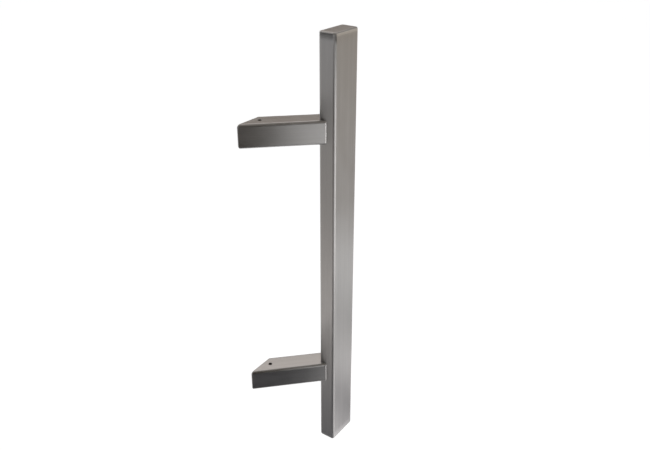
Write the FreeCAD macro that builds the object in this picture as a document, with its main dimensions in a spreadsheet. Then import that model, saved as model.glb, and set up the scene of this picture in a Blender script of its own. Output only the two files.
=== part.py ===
import FreeCAD, Part
import math
import os

import Sketcher

# Offset pull handle for a door, in satin stainless steel.
# The origin is on the door plane, midway between the two fixing bores.
# +X runs from the fixings to the grip, +Y points into the door and +Z is up.
# Lengths are in millimetres and angles in degrees.
SIZES = (
    ("grip_length", 500.0),
    ("grip_width", 40.0),
    ("grip_depth", 20.0),
    ("grip_wall", 1.5),
    ("grip_round", 3.0),
    ("cap_thickness", 4.0),
    ("cap_edge_round", 2.0),
    ("spigot_depth", 4.0),
    ("spigot_clearance", 0.1),
    ("fixing_centres", 300.0),
    ("projection", 73.0),
    ("arm_setback", 9.0),
    ("arm_angle", 45.0),
    ("arm_side", 25.4),
    ("arm_wall", 2.5),
    ("arm_round", 3.0),
    ("mitre_round", 1.2),
    ("heel_flat", 1.6),
    ("least_inner_round", 0.4),
    ("bore_diameter", 10.0),
    ("bore_depth", 15.0),
    ("drill_point_angle", 118.0),
    ("block_clearance", 0.1),
    ("block_end_wall", 6.0),
    ("screw_set_in", 8.5),
    ("screw_diameter", 4.0),
    ("screw_length", 6.0),
    ("screw_recess", 1.0),
    ("screw_bevel", 0.4),
    ("thread_clearance", 0.04),
    ("countersink_bevel", 0.4),
    ("countersink_angle", 90.0),
    ("key_width", 2.0),
    ("key_depth", 2.0),
)

# Radii inside the tubes, and the clear width between their walls.
GRIP_INNER_ROUND = "max(sizes.grip_round - sizes.grip_wall; sizes.least_inner_round)"
GRIP_INNER_WIDTH = "(sizes.grip_width - 2 * sizes.grip_wall)"
GRIP_INNER_DEPTH = "(sizes.grip_depth - 2 * sizes.grip_wall)"
ARM_INNER_ROUND = "max(sizes.arm_round - sizes.arm_wall; sizes.least_inner_round)"
ARM_INNER_SIDE = "(sizes.arm_side - 2 * sizes.arm_wall)"

# The arm's centre line crosses the grub screw's axis, and its front face meets
# the grip's side face at arm_setback behind the grip's front face.
GRIP_SIDE = (
    "((sizes.projection - sizes.arm_setback - sizes.screw_set_in) / tan(sizes.arm_angle)"
    " - sizes.arm_side / 2 / sin(sizes.arm_angle))"
)
GRIP_BACK = "(sizes.projection - sizes.grip_depth)"
GRIP_CENTRE_X = GRIP_SIDE + " + sizes.grip_width / 2"
GRIP_CENTRE_Y = "-(sizes.projection - sizes.grip_depth / 2)"
TUBE_LENGTH = "(sizes.grip_length - 2 * sizes.cap_thickness)"

# The arm's mouth is rounded by no more than half its wall.
MITRE_ROUND = "min(sizes.mitre_round; 0.5 * sizes.arm_wall)"

# The arm's thin front edge is ground to a narrow flat where it meets the grip. The flat
# faces halfway between the arm's front and the grip's front.
HEEL_FLAT = "min(sizes.heel_flat; sizes.arm_wall)"
HEEL_ACROSS = HEEL_FLAT + " * cos(sizes.arm_angle / 2)"
HEEL_FORWARD = HEEL_FLAT + " * sin(sizes.arm_angle / 2)"
HEEL_SET_OUT = (
    "(sizes.projection - sizes.arm_setback"
    " - " + HEEL_ACROSS + " * tan(sizes.arm_angle) + " + HEEL_FORWARD + ")"
)

# Stock is left past both ends of an arm, for the mitre and the cope to cut off.
DOOR_STOCK = "sizes.screw_set_in / sin(sizes.arm_angle) + sizes.arm_side / tan(sizes.arm_angle)"
GRIP_STOCK = "sizes.projection / sin(sizes.arm_angle) + sizes.arm_side / tan(sizes.arm_angle)"
CUT_REACH = "2 * (sizes.projection + sizes.grip_width) / sin(sizes.arm_angle)"

# The anchor block runs past the end of its bore, measured along the arm.
BLOCK_REACH = (
    "(sizes.bore_depth - sizes.screw_set_in) * sin(sizes.arm_angle)"
    " + sizes.bore_diameter / 2 * cos(sizes.arm_angle) + sizes.block_end_wall"
)

ORIGIN_POINT = (-1, 1)
UP = FreeCAD.Vector(0, 0, 1)
SEAM = 1e-6


def fill_sheet(document):
    """Write the driving sizes as plain numbers, each with its alias."""
    sheet = document.addObject("Spreadsheet::Sheet", "sizes")
    for row, (alias, number) in enumerate(SIZES, start=1):
        sheet.set(f"A{row}", alias)
        sheet.set(f"B{row}", str(number))
        sheet.setAlias(f"B{row}", alias)
    document.recompute()
    return sheet


def value(item, expression):
    """Work out an expression on the sheet as a number."""
    return float(item.evalExpression(expression))


def new_body(document, label):
    """Start a sub-part under its own label."""
    body = document.addObject("PartDesign::Body", label)
    body.Label = label
    return body


def place(body, along_x, along_y, along_z):
    """Tie a sub-part's place to the sheet."""
    body.setExpression("Placement.Base.x", along_x)
    body.setExpression("Placement.Base.y", along_y)
    body.setExpression("Placement.Base.z", along_z)


def new_sketch(body, name, role):
    """Make an empty sketch on one of the body's own origin planes."""
    sketch = body.newObject("Sketcher::SketchObject", name)
    plane = next(item for item in body.Origin.OriginFeatures if item.Role == role)
    sketch.AttachmentSupport = [(plane, "")]
    sketch.MapMode = "FlatFace"
    return sketch


def drive(sketch, name, expression, kind, *where):
    """Add a constraint whose value follows the sheet."""
    number = value(sketch, expression)
    index = sketch.addConstraint(Sketcher.Constraint(kind, *where, number))
    sketch.renameConstraint(index, name)
    sketch.setExpression("Constraints." + name, expression)


def vector(across, along):
    """A point in a sketch's own plane."""
    return FreeCAD.Vector(across, along, 0)


def add_arc(sketch, circle, first, last):
    """Add the part of a circle between two angles in degrees."""
    return sketch.addGeometry(Part.ArcOfCircle(circle, math.radians(first), math.radians(last)), False)


def draw_rounded_rectangle(sketch, name, width, height, radius):
    """Draw a rectangle with round corners about the sketch's origin."""
    round_size = value(sketch, radius)
    half_width = value(sketch, width) / 2
    half_height = value(sketch, height) / 2
    lines = []
    arcs = []
    for turn in range(4):
        spin = FreeCAD.Rotation(UP, 90 * turn)
        ahead, aside = (half_width, half_height) if turn % 2 == 0 else (half_height, half_width)
        start = spin.multVec(vector(round_size - ahead, -aside))
        end = spin.multVec(vector(ahead - round_size, -aside))
        centre = spin.multVec(vector(ahead - round_size, round_size - aside))
        lines.append(sketch.addGeometry(Part.LineSegment(start, end), False))
        circle = Part.Circle(centre, UP, round_size)
        arcs.append(add_arc(sketch, circle, 90 * (turn - 1), 90 * turn))
    for turn in range(4):
        sketch.addConstraint(Sketcher.Constraint("Tangent", lines[turn], 2, arcs[turn], 1))
        sketch.addConstraint(Sketcher.Constraint("Tangent", arcs[turn], 2, lines[(turn + 1) % 4], 1))
        direction = "Horizontal" if turn % 2 == 0 else "Vertical"
        sketch.addConstraint(Sketcher.Constraint(direction, lines[turn]))
        if turn > 0:
            sketch.addConstraint(Sketcher.Constraint("Equal", arcs[0], arcs[turn]))
    sketch.addConstraint(Sketcher.Constraint("Symmetric", arcs[0], 3, arcs[2], 3, *ORIGIN_POINT))
    drive(sketch, name + "_radius", radius, "Radius", arcs[0])
    drive(sketch, name + "_width", width, "DistanceX", lines[3], 1, lines[1], 1)
    drive(sketch, name + "_height", height, "DistanceY", lines[0], 1, lines[2], 2)


def draw_polygon(sketch, points):
    """Join the points with lines into a closed outline, and return the lines."""
    lines = []
    for start, end in zip(points, points[1:] + points[:1]):
        lines.append(sketch.addGeometry(Part.LineSegment(start, end), False))
    for line, following in zip(lines, lines[1:] + lines[:1]):
        sketch.addConstraint(Sketcher.Constraint("Coincident", line, 2, following, 1))
    return lines


def draw_square(sketch, side):
    """Draw a square about the sketch's origin."""
    half = value(sketch, side) / 2
    points = [vector(-half, -half), vector(half, -half), vector(half, half), vector(-half, half)]
    lines = draw_polygon(sketch, points)
    for line, direction in zip(lines, ("Horizontal", "Vertical") * 2):
        sketch.addConstraint(Sketcher.Constraint(direction, line))
    sketch.addConstraint(Sketcher.Constraint("Symmetric", lines[0], 1, lines[2], 1, *ORIGIN_POINT))
    drive(sketch, "side", side, "DistanceX", lines[0], 1, lines[0], 2)
    sketch.addConstraint(Sketcher.Constraint("Equal", lines[0], lines[1]))


def draw_circle(sketch, name, diameter):
    """Draw a circle, and return it for placing."""
    radius = value(sketch, diameter) / 2
    circle = sketch.addGeometry(Part.Circle(vector(0, 0), UP, radius), False)
    drive(sketch, name, diameter, "Diameter", circle)
    return circle


def pad(body, name, sketch, length, back_length=None, symmetric=False):
    """Raise a sketch into a solid, to one side, to both or evenly about its plane."""
    feature = body.newObject("PartDesign::Pad", name)
    feature.Profile = sketch
    feature.setExpression("Length", length)
    if symmetric:
        feature.SideType = "Symmetric"
    if back_length:
        feature.SideType = "Two sides"
        feature.setExpression("Length2", back_length)
    return feature


def cut_through(body, name, sketch, both_ways=False):
    """Remove all that lies behind a sketch, or on both sides of it."""
    feature = body.newObject("PartDesign::Pocket", name)
    feature.Profile = sketch
    feature.Type = "ThroughAll"
    if both_ways:
        feature.SideType = "Two sides"
        feature.Type2 = "ThroughAll"
    return feature


def drill(document, body, name, sketch, diameter, depth):
    """Drill a plain hole at a sketch's circle."""
    feature = body.newObject("PartDesign::Hole", name)
    feature.Profile = sketch
    document.recompute()
    feature.ThreadType = "None"
    feature.DepthType = "Dimension"
    feature.DrillPoint = "Flat"
    feature.setExpression("Diameter", diameter)
    feature.setExpression("Depth", depth)
    return feature


def round_edges(document, body, name, radius, chosen):
    """Round those edges of the body's last feature that pass a test."""
    document.recompute()
    base = body.Tip
    names = [f"Edge{number}" for number, edge in enumerate(base.Shape.Edges, start=1) if chosen(edge)]
    feature = body.newObject("PartDesign::Fillet", name)
    feature.Base = (base, names)
    feature.setExpression("Radius", radius)
    return feature


def is_upright(edge):
    """Whether an edge is straight and parallel to Z."""
    if not isinstance(edge.Curve, Part.Line):
        return False
    return abs(abs(edge.Curve.Direction.z) - 1) < SEAM


def leftmost_upright(shape):
    """The upright edge furthest to -X, which is the arm's sharp tip at the door."""
    return min(filter(is_upright, shape.Edges), key=lambda edge: edge.CenterOfMass.x)


def make_grip_tube(document):
    """The bar that the hand holds: a rectangular tube between its two caps."""
    body = new_body(document, "grip_tube")
    section = new_sketch(body, "grip_section", "XY_Plane")
    draw_rounded_rectangle(section, "outer", "sizes.grip_width", "sizes.grip_depth", "sizes.grip_round")
    draw_rounded_rectangle(section, "inner", GRIP_INNER_WIDTH, GRIP_INNER_DEPTH, GRIP_INNER_ROUND)
    pad(body, "grip_length_pad", section, TUBE_LENGTH, symmetric=True)
    place(body, GRIP_CENTRE_X, GRIP_CENTRE_Y, "0")
    return body


def make_end_cap(document, end, way):
    """A plate welded over the tube's end, with a spigot that centres it in the tube."""
    body = new_body(document, end + "_end_cap")
    outline = new_sketch(body, end + "_cap_outline", "XY_Plane")
    draw_rounded_rectangle(outline, "outer", "sizes.grip_width", "sizes.grip_depth", "sizes.grip_round")
    pad(body, end + "_cap_plate", outline, "sizes.cap_thickness")
    spigot = new_sketch(body, end + "_spigot_outline", "XY_Plane")
    width = GRIP_INNER_WIDTH + " - 2 * sizes.spigot_clearance"
    depth = GRIP_INNER_DEPTH + " - 2 * sizes.spigot_clearance"
    draw_rounded_rectangle(spigot, "spigot", width, depth, GRIP_INNER_ROUND)
    boss = pad(body, end + "_spigot", spigot, "sizes.spigot_depth")
    boss.Reversed = True
    document.recompute()
    top = body.Tip.Shape.BoundBox.ZMax
    edge_round = "min(sizes.cap_edge_round; 0.5 * sizes.cap_thickness)"
    round_edges(document, body, end + "_cap_edge", edge_round, lambda edge: edge.BoundBox.ZMin > top - SEAM)
    place(body, GRIP_CENTRE_X, GRIP_CENTRE_Y, f"{way} * {TUBE_LENGTH} / 2")
    if way < 0:
        body.Placement.Rotation = FreeCAD.Rotation(FreeCAD.Vector(1, 0, 0), 180)
    return body


def aim_along_arm(sketch):
    """Turn an upright section to face along the arm, on the grub screw's axis."""
    sketch.AttachmentOffset = FreeCAD.Placement(vector(0, 0), FreeCAD.Rotation(FreeCAD.Vector(0, 1, 0), -1))
    sketch.setExpression("AttachmentOffset.Base.x", "-sizes.screw_set_in")
    sketch.setExpression("AttachmentOffset.Rotation.Angle", "-sizes.arm_angle")


def cut_mitre(body, name):
    """Cut a piece off flush with the door plane."""
    door = new_sketch(body, name + "_outline", "XZ_Plane")
    draw_square(door, CUT_REACH)
    cut_through(body, name, door)


def cut_cope(body, name):
    """Cut the arm's end to sit over the grip's rear corner, with its thin front edge ground flat."""
    sketch = new_sketch(body, name + "_outline", "XY_Plane")
    side = value(sketch, GRIP_SIDE)
    back = -value(sketch, GRIP_BACK)
    corner = value(sketch, "sizes.grip_round")
    reach = value(sketch, CUT_REACH)

    heel_end = vector(side, -value(sketch, HEEL_SET_OUT))
    heel_start = heel_end + vector(-value(sketch, HEEL_ACROSS), value(sketch, HEEL_FORWARD))
    ahead = heel_start.y - reach
    aside = side + reach
    outline = [heel_end, heel_start, vector(heel_start.x, ahead), vector(aside, ahead)]
    outline += [vector(aside, back), vector(side + corner, back)]
    lines = [sketch.addGeometry(Part.LineSegment(*ends), False) for ends in zip(outline, outline[1:])]
    corner_circle = Part.Circle(vector(side + corner, back - corner), UP, corner)
    corner_arc = add_arc(sketch, corner_circle, 90, 180)
    side_line = sketch.addGeometry(Part.LineSegment(vector(side, back - corner), heel_end), False)

    for line, following in zip([side_line] + lines, lines):
        sketch.addConstraint(Sketcher.Constraint("Coincident", line, 2, following, 1))
    for line, direction in zip(lines[1:] + [side_line], ("Vertical", "Horizontal") * 3):
        sketch.addConstraint(Sketcher.Constraint(direction, line))
    sketch.addConstraint(Sketcher.Constraint("Tangent", lines[4], 2, corner_arc, 1))
    sketch.addConstraint(Sketcher.Constraint("Tangent", corner_arc, 2, side_line, 1))
    drive(sketch, "corner", "sizes.grip_round", "Radius", corner_arc)
    drive(sketch, "side", GRIP_SIDE, "DistanceX", *ORIGIN_POINT, side_line, 1)
    drive(sketch, "back", GRIP_BACK, "DistanceY", lines[4], 1, *ORIGIN_POINT)
    drive(sketch, "heel_set_out", HEEL_SET_OUT, "DistanceY", side_line, 2, *ORIGIN_POINT)
    drive(sketch, "heel_across", HEEL_ACROSS, "DistanceX", lines[0], 2, lines[0], 1)
    drive(sketch, "heel_forward", HEEL_FORWARD, "DistanceY", lines[0], 1, lines[0], 2)
    drive(sketch, "reach_across", CUT_REACH, "DistanceX", side_line, 1, lines[3], 2)
    drive(sketch, "reach_forward", CUT_REACH, "DistanceY", lines[1], 2, lines[1], 1)
    cut_through(body, name, sketch, both_ways=True)


def sketch_screw_hole(body, name, height):
    """Mark the grub screw's axis, at a height above the arm's centre line."""
    sketch = new_sketch(body, name, "XY_Plane")
    sketch.setExpression("AttachmentOffset.Base.z", height)
    circle = draw_circle(sketch, "diameter", "sizes.screw_diameter")
    sketch.addConstraint(Sketcher.Constraint("PointOnObject", circle, 3, -2))
    drive(sketch, "set_in", "sizes.screw_set_in", "DistanceY", circle, 3, *ORIGIN_POINT)
    return sketch


def make_arm(document, level, way):
    """A square tube, mitred at the door and coped over the grip's rear corner."""
    body = new_body(document, level + "_arm")
    section = new_sketch(body, level + "_arm_section", "YZ_Plane")
    aim_along_arm(section)
    draw_rounded_rectangle(section, "outer", "sizes.arm_side", "sizes.arm_side", "sizes.arm_round")
    draw_rounded_rectangle(section, "inner", ARM_INNER_SIDE, ARM_INNER_SIDE, ARM_INNER_ROUND)
    pad(body, level + "_arm_stock", section, GRIP_STOCK, DOOR_STOCK)
    cut_mitre(body, level + "_arm_mitre")
    cut_cope(body, level + "_arm_cope")
    document.recompute()

    tip = leftmost_upright(body.Tip.Shape)
    round_edges(document, body, level + "_arm_tip", MITRE_ROUND, tip.isSame)

    top = "sizes.arm_side / 2"
    hole_sketch = sketch_screw_hole(body, level + "_arm_hole_circle", top)
    hole = drill(document, body, level + "_arm_hole", hole_sketch, "sizes.screw_diameter", top)
    hole.HoleCutType = "Countersink"
    hole.HoleCutCustomValues = True
    hole.setExpression("HoleCutDiameter", "sizes.screw_diameter + 2 * sizes.countersink_bevel")
    hole.setExpression("HoleCutCountersinkAngle", "sizes.countersink_angle")
    place(body, "0", "0", f"{way} * sizes.fixing_centres / 2")
    return body


def make_anchor_block(document, level, way):
    """A solid block in the arm's mouth: a blind bore for the door fixing, and the screw's thread."""
    body = new_body(document, level + "_anchor_block")
    section = new_sketch(body, level + "_block_section", "YZ_Plane")
    aim_along_arm(section)
    width = ARM_INNER_SIDE + " - 2 * sizes.block_clearance"
    draw_rounded_rectangle(section, "block", width, ARM_INNER_SIDE, ARM_INNER_ROUND)
    pad(body, level + "_block_stock", section, BLOCK_REACH, DOOR_STOCK)
    cut_mitre(body, level + "_block_mitre")

    mouth = new_sketch(body, level + "_bore_circle", "XZ_Plane")
    circle = draw_circle(mouth, "diameter", "sizes.bore_diameter")
    mouth.addConstraint(Sketcher.Constraint("Coincident", circle, 3, *ORIGIN_POINT))
    bore = drill(document, body, level + "_bore", mouth, "sizes.bore_diameter", "sizes.bore_depth")
    bore.Reversed = True
    bore.DrillPoint = "Angled"
    bore.setExpression("DrillPointAngle", "sizes.drill_point_angle")

    top = ARM_INNER_SIDE + " / 2"
    thread_sketch = sketch_screw_hole(body, level + "_thread_circle", top)
    drill(document, body, level + "_thread", thread_sketch, "sizes.screw_diameter", top)
    place(body, "0", "0", f"{way} * sizes.fixing_centres / 2")
    return body


def make_grub_screw(document, level, way):
    """A socket set screw, backed off just clear of the bore."""
    body = new_body(document, level + "_grub_screw")
    shank_sketch = new_sketch(body, level + "_shank_circle", "XY_Plane")
    circle = draw_circle(shank_sketch, "diameter", "sizes.screw_diameter - sizes.thread_clearance")
    shank_sketch.addConstraint(Sketcher.Constraint("Coincident", circle, 3, *ORIGIN_POINT))
    shank = pad(body, level + "_shank", shank_sketch, "sizes.screw_length")
    shank.Reversed = True
    document.recompute()
    bevel = body.newObject("PartDesign::Chamfer", level + "_shank_bevel")
    edges = enumerate(shank.Shape.Edges, start=1)
    bevel.Base = (shank, [f"Edge{number}" for number, edge in edges if not is_upright(edge)])
    bevel.setExpression("Size", "sizes.screw_bevel")

    key_sketch = new_sketch(body, level + "_key_outline", "XY_Plane")
    corner = value(key_sketch, "sizes.key_width / sqrt(3)")
    points = [FreeCAD.Rotation(UP, 60 * turn).multVec(vector(corner, 0)) for turn in range(6)]
    lines = draw_polygon(key_sketch, points)
    for line in lines[1:]:
        key_sketch.addConstraint(Sketcher.Constraint("Equal", lines[0], line))
    guide = key_sketch.addGeometry(Part.Circle(vector(0, 0), UP, corner), True)
    key_sketch.addConstraint(Sketcher.Constraint("Coincident", guide, 3, *ORIGIN_POINT))
    for line in lines:
        key_sketch.addConstraint(Sketcher.Constraint("PointOnObject", line, 1, guide))
    key_sketch.addConstraint(Sketcher.Constraint("PointOnObject", lines[0], 1, -1))
    drive(key_sketch, "corners", "2 * sizes.key_width / sqrt(3)", "Diameter", guide)
    socket = body.newObject("PartDesign::Pocket", level + "_key_socket")
    socket.Profile = key_sketch
    socket.setExpression("Length", "sizes.key_depth")
    height = f"{way} * sizes.fixing_centres / 2 + sizes.arm_side / 2 - sizes.screw_recess"
    place(body, "0", "-sizes.screw_set_in", height)
    return body


def build(document):
    """Make every sub-part of the handle."""
    bodies = [make_grip_tube(document)]
    for end, way in (("top", 1), ("bottom", -1)):
        bodies.append(make_end_cap(document, end, way))
    for level, way in (("upper", 1), ("lower", -1)):
        bodies.append(make_arm(document, level, way))
        bodies.append(make_anchor_block(document, level, way))
        bodies.append(make_grub_screw(document, level, way))
    document.recompute()
    return bodies


def check(document, bodies):
    """Stop if a feature failed, a cut removed nothing or a solid isn't sound."""
    for item in document.Objects:
        if "Invalid" in item.State or "Error" in item.State:
            raise RuntimeError(f"{item.Label} failed to rebuild")
        if item.TypeId in ("PartDesign::Pocket", "PartDesign::Hole"):
            if item.Shape.Volume >= item.BaseFeature.Shape.Volume - SEAM:
                raise RuntimeError(f"{item.Label} cuts nothing")
    for body in bodies:
        if body.Shape.isNull() or not body.Shape.isValid() or len(body.Shape.Solids) != 1:
            raise RuntimeError(f"{body.Label} isn't one sound solid")


def main():
    document = FreeCAD.newDocument("offset_pull_handle")
    fill_sheet(document)
    bodies = build(document)
    check(document, bodies)
    os.makedirs("parts", exist_ok=True)
    for body in bodies:
        body.Shape.exportStep(f"parts/{body.Label}.step")
        print(body.Label, round(body.Shape.Volume, 1))


main()
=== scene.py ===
"""Offset pull handle: steel finishes, threaded grub screws and a plain studio round the frame."""

import math

import bmesh
import bpy
from bpy.props import FloatProperty, FloatVectorProperty, PointerProperty
from bpy.types import Operator, Panel, PropertyGroup
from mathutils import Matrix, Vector


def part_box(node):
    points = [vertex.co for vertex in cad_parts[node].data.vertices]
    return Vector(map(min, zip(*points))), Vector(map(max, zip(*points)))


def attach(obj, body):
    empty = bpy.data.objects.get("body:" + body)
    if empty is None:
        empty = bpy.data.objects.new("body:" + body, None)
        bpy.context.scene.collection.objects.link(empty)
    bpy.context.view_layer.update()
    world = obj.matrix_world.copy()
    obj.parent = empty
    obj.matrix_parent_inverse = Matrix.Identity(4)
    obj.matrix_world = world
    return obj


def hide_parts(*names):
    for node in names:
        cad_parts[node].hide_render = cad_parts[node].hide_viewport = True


bl_info = {
    "name": "Offset pull handle",
    "version": (1, 0, 0),
    "blender": (4, 5, 0),
    "location": "View3D > Sidebar > Pull handle",
    "description": "Brushes the steel, cuts the screw threads and sets up the studio",
    "category": "Object",
}

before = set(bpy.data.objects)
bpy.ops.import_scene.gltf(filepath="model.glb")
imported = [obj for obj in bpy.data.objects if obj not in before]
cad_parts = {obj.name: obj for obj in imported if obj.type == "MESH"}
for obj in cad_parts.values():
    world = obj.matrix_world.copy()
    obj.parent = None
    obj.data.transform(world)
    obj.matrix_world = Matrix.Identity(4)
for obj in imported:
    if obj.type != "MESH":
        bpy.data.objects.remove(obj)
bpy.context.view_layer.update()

MM = 0.001

# The soft, cloudy patches and the fine nicks that every brushed surface has.
CLOUD_WIDTH = 18 * MM
CLOUD_LENGTH = 38 * MM
NICK_WIDTH = 0.5 * MM
NICK_LENGTH = 9 * MM

# Where the broken edge of a fixing bore runs, from the bore's axis.
BORE_LIP = 5.2 * MM

# The camera, as fitted to the edges of the handle in the photograph.
CAMERA_PLACE = (-0.51098, -0.45624, 0.39074)
CAMERA_TURN = (63.656, -1.196, -56.769)
CAMERA_SHIFT = (-0.0538, -0.0123)

# The cards that stand round the handle and show in its steel: name, azimuth, distance, how far it
# reaches left and right (a negative reach starts on the other side), its lowest and highest
# point, and the colours there.
NEAR_BLACK = (0.03, 0.03, 0.03)
WARM_BLACK = (0.03, 0.025, 0.02)
DIM = (0.06, 0.06, 0.06)
GREY = (0.16, 0.16, 0.16)
WARM = (0.22, 0.205, 0.19)
BRIGHT = (1.28, 1.2, 1.15)
UPRIGHT_CARDS = (
    ("card_near_high", -128, 0.32, 0.024, 0.15, -0.2, 0.5, (0.02, 0.01, 0.0), (0.09, 0.08, 0.07)),
    ("card_near_low", -128, 0.32, 0.1, 0.15, -0.54, -0.2, (0.05, 0.052, 0.06), (0.05, 0.05, 0.055)),
    ("card_side_high", -128, 0.32, -0.152, 0.6, 0.06, 0.16, WARM_BLACK, (0.8, 0.8, 0.82)),
    ("card_side_middle", -128, 0.32, -0.152, 0.6, -0.4, 0.06, (0.6, 0.58, 0.56), WARM_BLACK),
    ("card_side_low", -128, 0.32, -0.152, 0.6, -0.6, -0.4, NEAR_BLACK, NEAR_BLACK),
    ("card_front_high", -90, 1.0, 0.6, 0.6, 0.0, 1.2, DIM, DIM),
    ("card_left_low", 146, 1.1, 0.8, 0.8, -1.03, -0.6, (1.25, 1.21, 1.19), (0.7, 0.67, 0.65)),
    ("card_left", 146, 1.1, 0.8, 0.8, -0.6, 0.17, (0.56, 0.535, 0.51), (0.61, 0.615, 0.63)),
    ("card_left_high", 146, 1.1, 0.8, 0.8, 0.17, 1.3, DIM, GREY),
    ("card_back", 38, 2.5, 1.6, 1.6, 0.2, 1.34, (0.06, 0.05, 0.042), (0.255, 0.2, 0.152)),
    ("card_back_high", 38, 2.5, 1.6, 1.6, 1.4, 3.2, BRIGHT, BRIGHT),
    ("card_right", -32, 1.2, 0.55, 0.85, -0.55, 0.8, (0.5, 0.47, 0.44), (1.1, 1.0, 0.87)),
    ("card_right_high", -14, 1.2, 0.6, 0.4, 0.84, 1.8, WARM, WARM),
)

# The cards that lie level: name, two opposite corners, height and colour.
LEVEL_CARDS = (
    ("card_over", (-1.0, -1.0), (0.25, 0.25), 0.7, (0.31, 0.29, 0.265)),
    ("card_under_left", (-1.2, -0.75), (-0.05, 0.95), -1.02, (0.235, 0.235, 0.25)),
    ("card_under_right_a", (0.1, -0.65), (0.315, 0.05), -0.55, (1.5, 1.48, 1.5)),
    ("card_under_right_b", (0.32, -0.65), (0.465, 0.05), -0.55, (0.31, 0.305, 0.325)),
    ("card_under_right_c", (0.47, -0.65), (0.58, 0.05), -0.55, (1.62, 1.6, 1.6)),
    ("card_under_right_d", (0.585, -0.65), (0.705, 0.05), -0.55, (0.27, 0.27, 0.275)),
)


def steel_colour(name, description, default):
    return FloatVectorProperty(
        name=name, description=description, subtype="COLOR", size=3, min=0, max=1, default=default
    )


def share(name, description, default):
    return FloatProperty(
        name=name, description=description, subtype="FACTOR", default=default, min=0, max=1
    )


def length(name, description, default):
    return FloatProperty(
        name=name, description=description, unit="LENGTH", default=default, precision=6
    )


class SteelFinish:
    """How one kind of steel is ground and brushed."""

    colour: steel_colour("Colour", "Colour of the bare steel", (0.40, 0.39, 0.382))
    roughness: share("Roughness", "How far the brushing blurs a reflection", 0.32)
    hair_width: length("Hairline width", "Width of one brushed line", 0.25 * MM)
    hair_length: length("Hairline length", "Length of one brushed line", 22 * MM)
    hair_depth: length("Hairline depth", "Depth of the brushed lines", 0.004 * MM)
    band_width: length("Band width", "Width of the broader bands among the lines", 1.8 * MM)
    wave_depth: length("Wave depth", "Depth of the slow waves that hand grinding leaves", 0.02 * MM)


class GripFinish(SteelFinish, PropertyGroup):
    """The grip's finish, brushed along its length."""

    roughness: share("Roughness", "How far the brushing blurs a reflection", 0.36)
    stretch: share("Highlight stretch", "How far the brushing widens a highlight", 0.75)
    end_slope: FloatProperty(
        name="End slope",
        description="How steeply the grip's faces fall away where its ends are ground by hand",
        subtype="FACTOR",
        default=0.2,
        min=0,
        max=0.4,
    )
    end_reach: length("End reach", "How far from its ends the grip is ground by hand", 11 * MM)


class ArmFinish(SteelFinish, PropertyGroup):
    """The arms' finish, brushed along them."""


class BlockFinish(SteelFinish, PropertyGroup):
    """The anchor blocks' finish, as turned."""


class ScrewFinish(SteelFinish, PropertyGroup):
    """The grub screws' finish, dull, with its colour painted dark for the shade in their holes."""

    # Painted shade: the screws' colour is darkened for the shade deep in their holes.
    colour: steel_colour("Colour", "Colour of the bare steel", (0.12, 0.11, 0.1))
    roughness: share("Roughness", "How far the surface blurs a reflection", 0.45)


class ScrewThread(PropertyGroup):
    """The coarse thread of the grub screws."""

    pitch: length("Pitch", "Distance between two turns of the thread", 0.7 * MM)
    depth: length("Thread depth", "Depth of the thread below the screw's outside", 0.4 * MM)
    key_width: length("Key size", "Width across the flats of the hexagon socket", 2.0 * MM)
    key_depth: length("Socket depth", "Depth of the hexagon socket", 2.0 * MM)


class Studio(PropertyGroup):
    """The floor, the room and the lamps."""

    floor_drop: length("Floor drop", "How far the floor lies below the middle of the handle", 1.05)
    floor_colour: steel_colour("Floor colour", "Colour of the pale floor", (0.86, 0.86, 0.86))
    room_light: share("Room light", "Strength of the even light from all round", 0.55)
    backdrop_light: share("Backdrop light", "Added to the floor where it is seen as backdrop", 0.53)
    lens: FloatProperty(
        name="Lens",
        description="Focal length in millimetres, for a sensor 36 mm wide",
        default=39.36,
        unit="CAMERA",
    )


class PullHandle(PropertyGroup):
    """All the settings that the handle's steps read."""

    grip_finish: PointerProperty(type=GripFinish)
    arm_finish: PointerProperty(type=ArmFinish)
    block_finish: PointerProperty(type=BlockFinish)
    screw_finish: PointerProperty(type=ScrewFinish)
    thread: PointerProperty(type=ScrewThread)
    studio: PointerProperty(type=Studio)


class Nodes:
    """The nodes of one material, or of the world."""

    def __init__(self, owner):
        owner.use_nodes = True
        self.tree = owner.node_tree
        self.tree.nodes.clear()

    def add(self, kind, settings=None, inputs=None, output=0):
        """Add a node, make its settings, then fill its sockets with values or links."""
        node = self.tree.nodes.new(kind)
        for name, setting in (settings or {}).items():
            setattr(node, name, setting)
        for name, given in (inputs or {}).items():
            if isinstance(given, Wire):
                self.tree.links.new(given.socket, node.inputs[name])
            else:
                node.inputs[name].default_value = given
        return Wire(self, node.outputs[output]) if node.outputs else None


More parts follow.
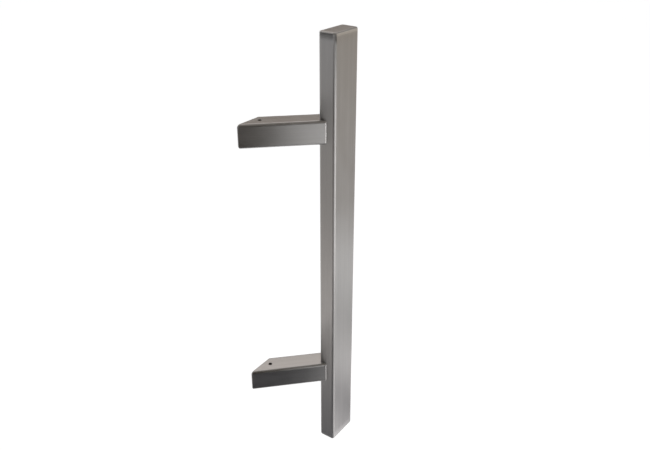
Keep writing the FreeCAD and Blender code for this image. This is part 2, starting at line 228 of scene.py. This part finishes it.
class Wire:
    """One output of a node, which Python's arithmetic can use."""

    def __init__(self, nodes, socket):
        self.nodes = nodes
        self.socket = socket

    def beside(self, name):
        """Another output of the same node."""
        return Wire(self.nodes, self.socket.node.outputs[name])

    def math(self, operation, *values):
        return self.nodes.add("ShaderNodeMath", {"operation": operation}, dict(enumerate(values)))

    def __add__(self, other):
        return self.math("ADD", self, other)

    def __radd__(self, other):
        return self.math("ADD", other, self)

    def __sub__(self, other):
        return self.math("SUBTRACT", self, other)

    def __rsub__(self, other):
        return self.math("SUBTRACT", other, self)

    def __mul__(self, other):
        return self.math("MULTIPLY", self, other)

    def __rmul__(self, other):
        return self.math("MULTIPLY", other, self)

    def __truediv__(self, other):
        return self.math("DIVIDE", self, other)

    def __pow__(self, other):
        return self.math("POWER", self, other)

    def __abs__(self):
        return self.math("ABSOLUTE", self)

    def larger(self, other):
        return self.math("MAXIMUM", self, other)

    def rise(self, low, high):
        """0 below low, 1 above high, and smooth between them."""
        return self.nodes.add(
            "ShaderNodeMapRange",
            {"interpolation_type": "SMOOTHSTEP"},
            {"Value": self, "From Min": low, "From Max": high},
        )

    def blend(self, first, second):
        """Colour that goes from the first to the second as this goes from 0 to 1."""
        return self.nodes.add(
            "ShaderNodeMix",
            {"data_type": "RGBA"},
            {"Factor": self, 6: first, 7: second},
            output=2,
        )


def shade(colour, factor):
    """A plain colour made lighter or darker, with its alpha."""
    return (*(min(1.0, part * factor) for part in colour), 1)


def streaks(nodes, across, beside, along, width, run, detail=2.0):
    """Noise in streaks of one width, which run on for a while along the grain."""
    point = nodes.add(
        "ShaderNodeCombineXYZ",
        inputs={"X": across / width, "Y": beside / width, "Z": along / run},
    )
    return nodes.add(
        "ShaderNodeTexNoise",
        inputs={"Vector": point, "Scale": 1.0, "Detail": detail, "Roughness": 0.55},
    )


def position(nodes):
    """The three coordinates of a point of the handle, in metres."""
    point = nodes.add("ShaderNodeTexCoord", output="Object")
    x = nodes.add("ShaderNodeSeparateXYZ", inputs={"Vector": point})
    return x, x.beside("Y"), x.beside("Z")


def worn_and_highlit(mask):
    """A mark where handling has polished the steel, also a painted highlight along edges and
    crests: a little lighter and smoother.
    """
    return 0.7 * mask, 1.12, -0.05


def steel(name, finish, lay_out, stretch=0):
    """Brushed steel: hairlines, broad bands, cloudy patches and nicks, with the piece's own marks,
    among them painted highlights and painted shade.

    lay_out takes a point's coordinates and gives three things: the directions across, beside and
    along the grain, the marks, and how far the surface has fallen away there. Each mark is a mask,
    the factor by which it lightens the steel, and what it adds to the roughness.
    """
    material = bpy.data.materials.new(name)
    nodes = Nodes(material)
    grain, marks, fall = lay_out(*position(nodes))
    across, beside, along = grain

    hairs = streaks(nodes, across, beside, along, finish.hair_width, finish.hair_length)
    bands = streaks(nodes, across, beside, along, finish.band_width, 8 * finish.hair_length, 3.0)
    clouds = streaks(nodes, across, beside, along, CLOUD_WIDTH, CLOUD_LENGTH)
    aslant = along + across * 4
    nicks = streaks(nodes, across, beside, aslant, NICK_WIDTH, NICK_LENGTH, 0.0).rise(0.76, 0.84)
    marks = [(nicks * 0.4, 1.35, -0.05), *marks]

    tone = 0.5 + 1.2 * (bands - 0.5) + 0.7 * (hairs - 0.5) + 0.5 * (clouds - 0.5)
    colour = tone.blend(shade(finish.colour, 0.9), shade(finish.colour, 1.1))
    roughness = finish.roughness + 0.08 * (hairs - 0.5) + 0.12 * (clouds - 0.5)
    for mask, lightening, roughening in marks:
        colour = mask.blend(colour, shade(finish.colour, lightening))
        roughness = roughness + roughening * mask
    height = finish.hair_depth * (hairs - 0.7 * nicks) + finish.wave_depth * bands - fall
    bump = nodes.add("ShaderNodeBump", inputs={"Strength": 1.0, "Distance": 1.0, "Height": height})
    shader = nodes.add(
        "ShaderNodeBsdfPrincipled",
        inputs={
            "Base Color": colour,
            "Metallic": 1.0,
            "Roughness": roughness,
            "Anisotropic": stretch,
            "Normal": bump,
        },
    )
    nodes.add("ShaderNodeOutputMaterial", inputs={"Surface": shader})
    return material


def dress(node_names, material):
    """Give the CAD nodes their material."""
    for name in node_names:
        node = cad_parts[name]
        node.data.materials.clear()
        node.data.materials.append(material)


def bar_corner(x, y):
    """1 on the rounded corners that run up the grip, and 0 on its flats."""
    low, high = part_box("grip_tube")
    middle = (low + high) / 2
    half = (high - low) / 2
    starts = 3 * MM
    full = 0.8 * MM
    from_side = abs(x - middle.x).rise(half.x - starts, half.x - full)
    from_face = abs(y - middle.y).rise(half.y - starts, half.y - full)
    return from_side * from_face


def bar_fall(z, finish):
    """How far the grip's faces have fallen away towards its ends."""
    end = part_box("top_end_cap")[1].z
    past = (abs(z) - (end - finish.end_reach)).larger(0)
    return past * past * (finish.end_slope / 2 / finish.end_reach)


def screw_radius(x, y):
    """How far a point is from the grub screws' axis."""
    low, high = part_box("upper_grub_screw")
    axis = (low + high) / 2
    out = x - axis.x
    back = y - axis.y
    return (out * out + back * back) ** 0.5


def arm_height(z):
    """How far a point is above the middle of the nearer arm, or below it where that is negative."""
    low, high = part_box("upper_arm")
    return z - (low.z + high.z) / 2 * z.math("SIGN", z)


def arm_edge(distance):
    """0 on the arm's flats, rising to 1 round its edges, from the distance to its middle."""
    low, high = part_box("upper_arm")
    half = (high.z - low.z) / 2
    return abs(distance).rise(half - 2.9 * MM, half - 0.6 * MM)


class PULLHANDLE_OT_finish_grip(Operator):
    """Brush the grip tube along its length and its end caps across"""

    bl_idname = "pull_handle.finish_grip"
    bl_label = "Finish grip and end caps"

    def execute(self, context):
        finish = context.scene.pull_handle.grip_finish
        tube_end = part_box("grip_tube")[1].z
        seam = 0.4 * MM

        def marks(x, y, at_seam):
            # The grip's corners are worn and also painted lighter as a highlight; the seam is a
            # dark joint.
            return [worn_and_highlit(bar_corner(x, y)), (0.2 * at_seam, 0.4, 0.1)]

        def along_the_bar(x, y, z):
            at_seam = abs(z).rise(tube_end - seam, tube_end)
            return (x, y, z), marks(x, y, at_seam), bar_fall(z, finish)

        def across_the_cap(x, y, z):
            at_seam = 1 - abs(z).rise(tube_end, tube_end + seam)
            return (x, z, y), marks(x, y, at_seam), bar_fall(z, finish)

        dress(["grip_tube"], steel("satin_grip", finish, along_the_bar, finish.stretch))
        caps = ["top_end_cap", "bottom_end_cap"]
        dress(caps, steel("satin_end_cap", finish, across_the_cap))
        return {"FINISHED"}


class PULLHANDLE_OT_finish_arms(Operator):
    """Brush both arms along their length"""

    bl_idname = "pull_handle.finish_arms"
    bl_label = "Finish arms"

    def execute(self, context):
        finish = context.scene.pull_handle.arm_finish
        grip_side, grip_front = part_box("grip_tube")[0].xy
        screw_low, screw_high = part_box("upper_grub_screw")
        set_in = (screw_low.y + screw_high.y) / 2
        hole_radius = (screw_high.x - screw_low.x) / 2 + 0.1 * MM

        def polished_heel_highlight(x, y):
            """1 on the narrow flat where the arm's front meets the grip's side, which is painted
            lighter there as a highlight and made smoother.
            """
            near_grip = (x - grip_side).rise(-1.6 * MM, -1.3 * MM)
            behind_heel = (y - grip_front).rise(10.5 * MM, 10.8 * MM)
            return near_grip * (1 - behind_heel)

        def screw_hole_shade(x, y, z):
            """1 inside the screw's hole, which is in the arm's upper half only, where the hole is
            painted dark as shade and for its thread.
            """
            outside = screw_radius(x, y).rise(hole_radius, hole_radius + 0.1 * MM)
            return (1 - outside) * arm_height(z).rise(0, 1 * MM)

        def along_the_arm(x, y, z):
            along = (x - y) * math.sqrt(0.5)
            across = (x + y - set_in) * math.sqrt(0.5)
            marks = [
                # The arm's edges are worn and also painted lighter as a highlight.
                worn_and_highlit(arm_edge(arm_height(z)) * arm_edge(across)),
                # Painted highlight: the heel flat is made much lighter, and a little smoother.
                (0.9 * polished_heel_highlight(x, y), 1.6, -0.08),
                # Painted shade: the screw's hole is darkened, partly also for its dark thread.
                (0.9 * screw_hole_shade(x, y, z), 0.15, 0.2),
            ]
            return (across, z, along), marks, 0

        dress(["upper_arm", "lower_arm"], steel("satin_arm", finish, along_the_arm))
        return {"FINISHED"}


class PULLHANDLE_OT_finish_blocks(Operator):
    """Face the anchor blocks in the lathe, with rings round the fixing bore"""

    bl_idname = "pull_handle.finish_blocks"
    bl_label = "Finish anchor blocks"

    def execute(self, context):
        finish = context.scene.pull_handle.block_finish

        def round_the_bore(x, y, z):
            up = arm_height(z)
            radius = (x * x + up * up) ** 0.5
            lip = 1 - abs(radius - BORE_LIP).rise(0.1 * MM, 0.6 * MM)
            # The bore's lip is worn and also painted lighter as a highlight.
            return (radius, radius, y), [worn_and_highlit(lip)], 0

        blocks = ["upper_anchor_block", "lower_anchor_block"]
        dress(blocks, steel("turned_block", finish, round_the_bore))
        return {"FINISHED"}


class PULLHANDLE_OT_make_grub_screws(Operator):
    """Make both grub screws with their thread and hexagon socket"""

    bl_idname = "pull_handle.make_grub_screws"
    bl_label = "Make grub screws"

    def execute(self, context):
        handle = context.scene.pull_handle
        low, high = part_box("upper_grub_screw")
        outside = (high.x - low.x) / 2

        def down_the_screw(x, y, z):
            radius = screw_radius(x, y)
            crest = radius.rise(0.9 * outside, outside)
            # The thread's crests are worn and also painted lighter as a highlight.
            return (radius, x, y), [worn_and_highlit(crest)], 0

        material = steel("turned_screw", handle.screw_finish, down_the_screw)
        for side in ("upper", "lower"):
            node = f"{side}_grub_screw"
            screw = grub_screw(f"{side}_threaded_screw", *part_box(node), handle.thread)
            screw.data.materials.append(material)
            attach(screw, "root")
            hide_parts(node)
        return {"FINISHED"}


def grub_screw(name, low, high, thread):
    """A set screw that stands upright between two corners, socket end up."""
    mesh = bmesh.new()
    axis = (low + high) / 2
    outside = (high.x - low.x) / 2
    root = outside - thread.depth
    bevel = 0.15 * MM
    flank_slope = 3.1
    flank_height = 1.25
    lip_spread = 1.04
    lip_depth = 0.12 * MM
    drill_tip = 0.4 * MM
    cup_radius = 0.62 * root
    cup_depth = 0.6 * MM
    steps = 48
    rows_a_turn = 10
    rows = round((high.z - low.z) / thread.pitch * rows_a_turn)

    def ring(height, radius_at):
        points = []
        for step in range(steps):
            angle = 2 * math.pi * step / steps
            radius = radius_at(angle)
            x = axis.x + radius * math.cos(angle)
            y = axis.y + radius * math.sin(angle)
            points.append(mesh.verts.new((x, y, height)))
        return points

    def flank(height):
        """The thread's radius round the screw at one height."""
        from_end = min(high.z - height, height - low.z)
        chamfer = root - bevel + from_end

        def radius_at(angle):
            turn = ((high.z - height) / thread.pitch + angle / (2 * math.pi)) % 1
            crest = min(1.0, max(0.0, flank_height - flank_slope * abs(turn - 0.5)))
            return min(chamfer, root + thread.depth * crest)

        return radius_at

    def hexagon(angle):
        """The key socket's radius in one direction."""
        from_flat = (angle + math.pi / 6) % (math.pi / 3) - math.pi / 6
        return thread.key_width / 2 / math.cos(from_flat)

    def bridge(upper, lower):
        for step in range(steps):
            after = (step + 1) % steps
            mesh.faces.new((upper[step], lower[step], lower[after], upper[after]))

    def close(points, height):
        tip = mesh.verts.new((axis.x, axis.y, height))
        for step in range(steps):
            mesh.faces.new((tip, points[step], points[(step + 1) % steps]))

    socket_floor = high.z - thread.key_depth
    lip = ring(high.z, lambda angle: lip_spread * hexagon(angle))
    mouth = ring(high.z - lip_depth, hexagon)
    base = ring(socket_floor, hexagon)
    close(base, socket_floor - drill_tip)
    bridge(base, mouth)
    bridge(mouth, lip)
    last = lip
    for row in range(rows + 1):
        height = high.z + (low.z - high.z) * row / rows
        this = ring(height, flank(height))
        bridge(last, this)
        last = this
    cup = ring(low.z, lambda angle: cup_radius)
    bridge(last, cup)
    close(cup, low.z + cup_depth)
    bmesh.ops.recalc_face_normals(mesh, faces=mesh.faces)

    data = bpy.data.meshes.new(name)
    mesh.to_mesh(data)
    mesh.free()
    data.shade_smooth()
    data.set_sharp_from_angle(angle=math.radians(32))
    screw = bpy.data.objects.new(name, data)
    bpy.context.scene.collection.objects.link(screw)
    return screw


def level_corners(low, high, height):
    """The four corners of a level rectangle, in order round it."""
    return [
        (low[0], low[1], height),
        (high[0], low[1], height),
        (high[0], high[1], height),
        (low[0], high[1], height),
    ]


def flat_sheet(name, corners, material):
    """A four-cornered sheet that belongs to the studio."""
    mesh = bpy.data.meshes.new(name)
    mesh.from_pydata(corners, [], [(0, 1, 2, 3)])
    mesh.materials.append(material)
    sheet = bpy.data.objects.new(name, mesh)
    bpy.context.scene.collection.objects.link(sheet)
    return sheet


def seen_directly(nodes):
    """1 where the camera, a reflection or glass looks, and 0 for light that falls on things."""
    path = nodes.add("ShaderNodeLightPath", output="Is Camera Ray")
    mirrored = path.beside("Is Glossy Ray")
    through = path.beside("Is Transmission Ray")
    return path.larger(mirrored).larger(through)


def floor_material(studio):
    """Pale floor that reads as the white backdrop and still takes shadows."""
    material = bpy.data.materials.new("pale_floor")
    nodes = Nodes(material)
    glow = seen_directly(nodes).blend((0, 0, 0, 1), shade((1, 1, 1), studio.backdrop_light))
    shader = nodes.add(
        "ShaderNodeBsdfPrincipled",
        inputs={
            "Base Color": (*studio.floor_colour, 1),
            "Roughness": 0.9,
            "Specular IOR Level": 0.0,
            "Emission Color": glow,
            "Emission Strength": 1.0,
        },
    )
    nodes.add("ShaderNodeOutputMaterial", inputs={"Surface": shader})
    return material


def white_room(studio):
    """Even white light from all round."""
    world = bpy.data.worlds.new("white_room")
    nodes = Nodes(world)
    seen = seen_directly(nodes)
    strength = seen + (1 - seen) * studio.room_light
    light = nodes.add("ShaderNodeBackground", inputs={"Color": (1, 1, 1, 1), "Strength": strength})
    nodes.add("ShaderNodeOutputWorld", inputs={"Surface": light})
    bpy.context.scene.world = world


def compass(azimuth, distance, height):
    """A point at an angle round the handle, counted from the x axis towards the y axis."""
    turn = math.radians(azimuth)
    return Vector((distance * math.cos(turn), distance * math.sin(turn), height))


def card_material(name, low, high, low_colour, high_colour):
    """A card as the steel shows it: its own colour, which may fade into another further up."""
    material = bpy.data.materials.new(name)
    nodes = Nodes(material)
    point = nodes.add("ShaderNodeNewGeometry", output="Position")
    height = nodes.add("ShaderNodeSeparateXYZ", inputs={"Vector": point}, output="Z")
    colour = height.rise(low, high).blend((*low_colour, 1), (*high_colour, 1))
    card = nodes.add(
        "ShaderNodeBsdfPrincipled",
        inputs={
            "Base Color": (0, 0, 0, 1),
            "Specular IOR Level": 0.0,
            "Emission Color": colour,
            "Emission Strength": 1.0,
        },
    )
    nodes.add("ShaderNodeOutputMaterial", inputs={"Surface": card})
    return material


def mirror_only(card):
    """Let a card show in the steel and nowhere else, the way a flag does beside a product."""
    card.visible_camera = False
    card.visible_diffuse = False
    card.visible_transmission = False
    card.visible_shadow = False


def upright_card(name, azimuth, distance, left, right, low, high, low_colour, high_colour):
    """A card that stands square to the line from the handle, and reaches left and right of it."""
    foot = compass(azimuth, distance, 0)
    side = compass(azimuth - 90, 1, 0)
    corners = [
        foot + side * along + Vector((0, 0, height))
        for along, height in ((-left, low), (right, low), (right, high), (-left, high))
    ]
    material = card_material(name, low, high, low_colour, high_colour)
    mirror_only(flat_sheet(name, corners, material))


def level_card(name, low, high, height, colour):
    """A card that lies level between two corners, over the handle or under it."""
    material = card_material(name, height, height + 1, colour, colour)
    mirror_only(flat_sheet(name, level_corners(low, high, height), material))


def soft_lamp(name, azimuth, distance, height, width, tall, watts):
    """A soft rectangular lamp that faces the middle of the handle."""
    lamp = bpy.data.lights.new(name, "AREA")
    lamp.shape = "RECTANGLE"
    lamp.size = width
    lamp.size_y = tall
    lamp.energy = watts
    stand = bpy.data.objects.new(name, lamp)
    stand.location = compass(azimuth, distance, height)
    stand.rotation_mode = "QUATERNION"
    stand.rotation_quaternion = (-stand.location).to_track_quat("-Z", "Y")
    stand.visible_camera = False
    bpy.context.scene.collection.objects.link(stand)
    return stand


def photo_camera(context, lens):
    """The camera that the photograph was taken from."""
    camera = bpy.data.cameras.new("photo_camera")
    camera.sensor_width = 36
    camera.lens = lens
    camera.shift_x, camera.shift_y = CAMERA_SHIFT
    view = bpy.data.objects.new("photo_camera", camera)
    view.location = CAMERA_PLACE
    view.rotation_euler = [math.radians(turn) for turn in CAMERA_TURN]
    context.scene.collection.objects.link(view)
    context.scene.camera = view


class PULLHANDLE_OT_set_stage(Operator):
    """Set up the floor, the white room, the lamps, the cards and the camera"""

    bl_idname = "pull_handle.set_stage"
    bl_label = "Set stage"

    def execute(self, context):
        studio = context.scene.pull_handle.studio
        white_room(studio)
        floor_reach = 40
        near, far = (-floor_reach, -floor_reach), (floor_reach, floor_reach)
        corners = level_corners(near, far, -studio.floor_drop)
        flat_sheet("floor", corners, floor_material(studio))
        for card in UPRIGHT_CARDS:
            upright_card(*card)
        for card in LEVEL_CARDS:
            level_card(*card)

        soft_lamp(
            "lamp_front", azimuth=-80, distance=1.0, height=-0.3, width=0.45, tall=0.5, watts=0.9
        )
        lamp_top = soft_lamp(
            "lamp_top", azimuth=-60, distance=1.4, height=1.6, width=1.4, tall=1.4, watts=10
        )
        lamp_top.visible_glossy = False
        photo_camera(context, studio.lens)
        context.scene.view_settings.view_transform = "Standard"
        return {"FINISHED"}


class PULLHANDLE_PT_sidebar(Panel):
    """The handle's steps, in the order in which they are run"""

    bl_idname = "PULLHANDLE_PT_sidebar"
    bl_label = "Pull handle"
    bl_space_type = "VIEW_3D"
    bl_region_type = "UI"
    bl_category = "Pull handle"

    def draw(self, context):
        for step in STEPS:
            self.layout.operator(step.bl_idname)


STEPS = (
    PULLHANDLE_OT_finish_grip,
    PULLHANDLE_OT_finish_arms,
    PULLHANDLE_OT_finish_blocks,
    PULLHANDLE_OT_make_grub_screws,
    PULLHANDLE_OT_set_stage,
)
GROUPS = (GripFinish, ArmFinish, BlockFinish, ScrewFinish, ScrewThread, Studio, PullHandle)


def register():
    for kind in (*GROUPS, *STEPS, PULLHANDLE_PT_sidebar):
        bpy.utils.register_class(kind)
    bpy.types.Scene.pull_handle = PointerProperty(type=PullHandle)


def unregister():
    del bpy.types.Scene.pull_handle
    for kind in reversed((*GROUPS, *STEPS, PULLHANDLE_PT_sidebar)):
        bpy.utils.unregister_class(kind)


def main():
    register()
    for step in STEPS:
        family, name = step.bl_idname.split(".")
        getattr(getattr(bpy.ops, family), name)()


if __name__ == "__main__":
    main()
